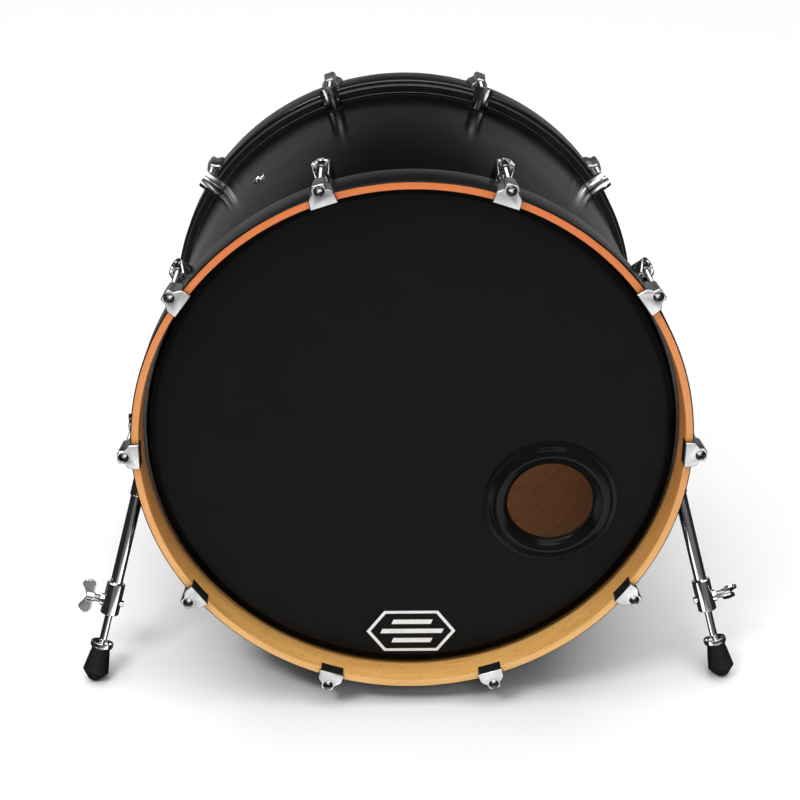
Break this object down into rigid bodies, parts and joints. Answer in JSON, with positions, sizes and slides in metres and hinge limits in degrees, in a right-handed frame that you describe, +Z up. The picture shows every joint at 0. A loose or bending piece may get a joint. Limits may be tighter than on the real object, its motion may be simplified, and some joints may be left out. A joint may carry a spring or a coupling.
{
  "type": "bass drum",
  "caption": "Floor-standing drum on two folding, telescoping spurs, with claw-tensioned heads in wooden hoops and a microphone port in the front head.",
  "frame": {"origin": "on the floor, under the middle of the drum's bounding box", "axes": "+Z up, +Y from the front head to the batter head, +X to the right seen from the front; the drum's axis leans back 3.2 degrees"},
  "size_m": [0.7578, 0.5158, 0.6107],
  "materials": {
    "shell_lacquer": "gloss black lacquer outside, clear inside",
    "hoop_wood": "black lacquer outside, clear maple inside",
    "film_black": "satin black film",
    "film_batter": "coated film",
    "flesh_metal": "satin",
    "port_plastic": "gloss",
    "tape": "matte",
    "claw_chrome": "satin chrome",
    "lug_chrome": "polished",
    "rod_steel": "plated",
    "washer_steel": "plated",
    "liner_rubber": "matte",
    "gasket_rubber": "matte",
    "nut_brass": "machined",
    "screw_steel": "zinc plated",
    "vent_chrome": "polished",
    "spur_chrome": "polished",
    "tube_chrome": "polished",
    "wing_chrome": "satin chrome",
    "foot_rubber": "matte"
  },
  "bodies": {
    "drum": {"shell": "shell_lacquer", "vent_grommet": "vent_chrome", "front_hoop": "hoop_wood", "batter_hoop": "hoop_wood", "front_head": "film_black", "front_head_collar": "film_black", "batter_head": "film_batter", "batter_head_collar": "film_batter", "front_flesh_hoop": "flesh_metal", "batter_flesh_hoop": "flesh_metal", "port_ring": "port_plastic", "port_tape": "tape", "front_claws": "claw_chrome", "batter_claws": "claw_chrome", "claw_liners": "liner_rubber", "rod_washers": "washer_steel", "front_lugs": "lug_chrome", "batter_lugs": "lug_chrome", "swivel_nuts": "nut_brass", "spur_bracket_right": "spur_chrome", "spur_bracket_left": "spur_chrome", "wall_gaskets": "gasket_rubber", "wall_screws": "screw_steel", "wall_screw_washers": "washer_steel"},
    "front_rod_01": {"front_rod_01": "rod_steel"},
    "front_rod_02": {"front_rod_02": "rod_steel"},
    "front_rod_03": {"front_rod_03": "rod_steel"},
    "front_rod_04": {"front_rod_04": "rod_steel"},
    "front_rod_05": {"front_rod_05": "rod_steel"},
    "front_rod_06": {"front_rod_06": "rod_steel"},
    "front_rod_07": {"front_rod_07": "rod_steel"},
    "front_rod_08": {"front_rod_08": "rod_steel"},
    "front_rod_09": {"front_rod_09": "rod_steel"},
    "front_rod_10": {"front_rod_10": "rod_steel"},
    "batter_rod_01": {"batter_rod_01": "rod_steel"},
    "batter_rod_02": {"batter_rod_02": "rod_steel"},
    "batter_rod_03": {"batter_rod_03": "rod_steel"},
    "batter_rod_04": {"batter_rod_04": "rod_steel"},
    "batter_rod_05": {"batter_rod_05": "rod_steel"},
    "batter_rod_06": {"batter_rod_06": "rod_steel"},
    "batter_rod_07": {"batter_rod_07": "rod_steel"},
    "batter_rod_08": {"batter_rod_08": "rod_steel"},
    "batter_rod_09": {"batter_rod_09": "rod_steel"},
    "batter_rod_10": {"batter_rod_10": "rod_steel"},
    "leg_right": {"spur_socket_right": "spur_chrome", "spur_tube_right": "tube_chrome", "spur_collar_right": "spur_chrome"},
    "pivot_bolt_right": {"spur_pivot_bolt_right": "rod_steel"},
    "wing_bolt_right": {"spur_wing_bolt_right": "wing_chrome"},
    "inner_rod_right": {"spur_inner_rod_right": "tube_chrome"},
    "foot_right": {"spur_foot_cup_right": "spur_chrome", "spur_rubber_foot_right": "foot_rubber"},
    "leg_left": {"spur_socket_left": "spur_chrome", "spur_tube_left": "tube_chrome", "spur_collar_left": "spur_chrome"},
    "pivot_bolt_left": {"spur_pivot_bolt_left": "rod_steel"},
    "wing_bolt_left": {"spur_wing_bolt_left": "wing_chrome"},
    "inner_rod_left": {"spur_inner_rod_left": "tube_chrome"},
    "foot_left": {"spur_foot_cup_left": "spur_chrome", "spur_rubber_foot_left": "foot_rubber"}
  },
  "joints": [
    {"name": "front_rod_01_turn", "type": "hinge", "parent": "drum", "child": "front_rod_01", "pos_m": [0.09246, -0.19878, 0.60147], "axis": [0, -0.9984, 0.0558], "continuous": true},
    {"name": "front_rod_02_turn", "type": "hinge", "parent": "drum", "child": "front_rod_02", "pos_m": [0.24206, -0.20485, 0.49295], "axis": [0, -0.9984, 0.0558], "continuous": true},
    {"name": "front_rod_03_turn", "type": "hinge", "parent": "drum", "child": "front_rod_03", "pos_m": [0.2992, -0.21466, 0.31735], "axis": [0, -0.9984, 0.0558], "continuous": true},
    {"name": "front_rod_04_turn", "type": "hinge", "parent": "drum", "child": "front_rod_04", "pos_m": [0.24206, -0.22448, 0.14176], "axis": [0, -0.9984, 0.0558], "continuous": true},
    {"name": "front_rod_05_turn", "type": "hinge", "parent": "drum", "child": "front_rod_05", "pos_m": [0.09246, -0.23055, 0.03324], "axis": [0, -0.9984, 0.0558], "continuous": true},
    {"name": "front_rod_06_turn", "type": "hinge", "parent": "drum", "child": "front_rod_06", "pos_m": [-0.09246, -0.23055, 0.03324], "axis": [0, -0.9984, 0.0558], "continuous": true},
    {"name": "front_rod_07_turn", "type": "hinge", "parent": "drum", "child": "front_rod_07", "pos_m": [-0.24206, -0.22448, 0.14176], "axis": [0, -0.9984, 0.0558], "continuous": true},
    {"name": "front_rod_08_turn", "type": "hinge", "parent": "drum", "child": "front_rod_08", "pos_m": [-0.2992, -0.21466, 0.31735], "axis": [0, -0.9984, 0.0558], "continuous": true},
    {"name": "front_rod_09_turn", "type": "hinge", "parent": "drum", "child": "front_rod_09", "pos_m": [-0.24206, -0.20485, 0.49295], "axis": [0, -0.9984, 0.0558], "continuous": true},
    {"name": "front_rod_10_turn", "type": "hinge", "parent": "drum", "child": "front_rod_10", "pos_m": [-0.09246, -0.19878, 0.60147], "axis": [0, -0.9984, 0.0558], "continuous": true},
    {"name": "batter_rod_01_turn", "type": "hinge", "parent": "drum", "child": "batter_rod_01", "pos_m": [0.09246, 0.23055, 0.57746], "axis": [0, 0.9984, -0.0558], "continuous": true},
    {"name": "batter_rod_02_turn", "type": "hinge", "parent": "drum", "child": "batter_rod_02", "pos_m": [0.24206, 0.22448, 0.46894], "axis": [0, 0.9984, -0.0558], "continuous": true},
    {"name": "batter_rod_03_turn", "type": "hinge", "parent": "drum", "child": "batter_rod_03", "pos_m": [0.2992, 0.21466, 0.29335], "axis": [0, 0.9984, -0.0558], "continuous": true},
    {"name": "batter_rod_04_turn", "type": "hinge", "parent": "drum", "child": "batter_rod_04", "pos_m": [0.24206, 0.20485, 0.11776], "axis": [0, 0.9984, -0.0558], "continuous": true},
    {"name": "batter_rod_05_turn", "type": "hinge", "parent": "drum", "child": "batter_rod_05", "pos_m": [0.09246, 0.19878, 0.00924], "axis": [0, 0.9984, -0.0558], "continuous": true},
    {"name": "batter_rod_06_turn", "type": "hinge", "parent": "drum", "child": "batter_rod_06", "pos_m": [-0.09246, 0.19878, 0.00924], "axis": [0, 0.9984, -0.0558], "continuous": true},
    {"name": "batter_rod_07_turn", "type": "hinge", "parent": "drum", "child": "batter_rod_07", "pos_m": [-0.24206, 0.20485, 0.11776], "axis": [0, 0.9984, -0.0558], "continuous": true},
    {"name": "batter_rod_08_turn", "type": "hinge", "parent": "drum", "child": "batter_rod_08", "pos_m": [-0.2992, 0.21466, 0.29335], "axis": [0, 0.9984, -0.0558], "continuous": true},
    {"name": "batter_rod_09_turn", "type": "hinge", "parent": "drum", "child": "batter_rod_09", "pos_m": [-0.24206, 0.22448, 0.46894], "axis": [0, 0.9984, -0.0558], "continuous": true},
    {"name": "batter_rod_10_turn", "type": "hinge", "parent": "drum", "child": "batter_rod_10", "pos_m": [-0.09246, 0.23055, 0.57746], "axis": [0, 0.9984, -0.0558], "continuous": true},
    {"name": "spur_fold_right", "type": "hinge", "parent": "drum", "child": "leg_right", "pos_m": [0.2985, -0.11074, 0.24142], "axis": [0.975, 0.1959, -0.1047], "range_deg": [0, 111]},
    {"name": "pivot_bolt_turn_right", "type": "hinge", "parent": "drum", "child": "pivot_bolt_right", "pos_m": [0.2985, -0.11074, 0.24142], "axis": [0.975, 0.1959, -0.1047], "continuous": true},
    {"name": "wing_bolt_turn_right", "type": "hinge", "parent": "leg_right", "child": "wing_bolt_right", "pos_m": [0.34057, -0.16923, 0.08744], "axis": [0.9689, 0.0879, 0.2313], "continuous": true},
    {"name": "spur_length_right", "type": "slide", "parent": "leg_right", "child": "inner_rod_right", "axis": [0.2475, -0.3441, -0.9058], "range_m": [-0.03, 0.045]},
    {"name": "foot_turn_right", "type": "hinge", "parent": "inner_rod_right", "child": "foot_right", "pos_m": [0.35879, -0.19457, 0.02074], "axis": [0.2475, -0.3441, -0.9058], "continuous": true},
    {"name": "spur_fold_left", "type": "hinge", "parent": "drum", "child": "leg_left", "pos_m": [-0.2985, -0.11074, 0.24142], "axis": [0.975, -0.1959, 0.1047], "range_deg": [0, 111]},
    {"name": "pivot_bolt_turn_left", "type": "hinge", "parent": "drum", "child": "pivot_bolt_left", "pos_m": [-0.2985, -0.11074, 0.24142], "axis": [-0.975, 0.1959, -0.1047], "continuous": true},
    {"name": "wing_bolt_turn_left", "type": "hinge", "parent": "leg_left", "child": "wing_bolt_left", "pos_m": [-0.34057, -0.16923, 0.08744], "axis": [-0.9689, 0.0879, 0.2313], "continuous": true},
    {"name": "spur_length_left", "type": "slide", "parent": "leg_left", "child": "inner_rod_left", "axis": [-0.2475, -0.3441, -0.9058], "range_m": [-0.03, 0.045]},
    {"name": "foot_turn_left", "type": "hinge", "parent": "inner_rod_left", "child": "foot_left", "pos_m": [-0.35879, -0.19457, 0.02074], "axis": [-0.2475, -0.3441, -0.9058], "continuous": true}
  ]
}
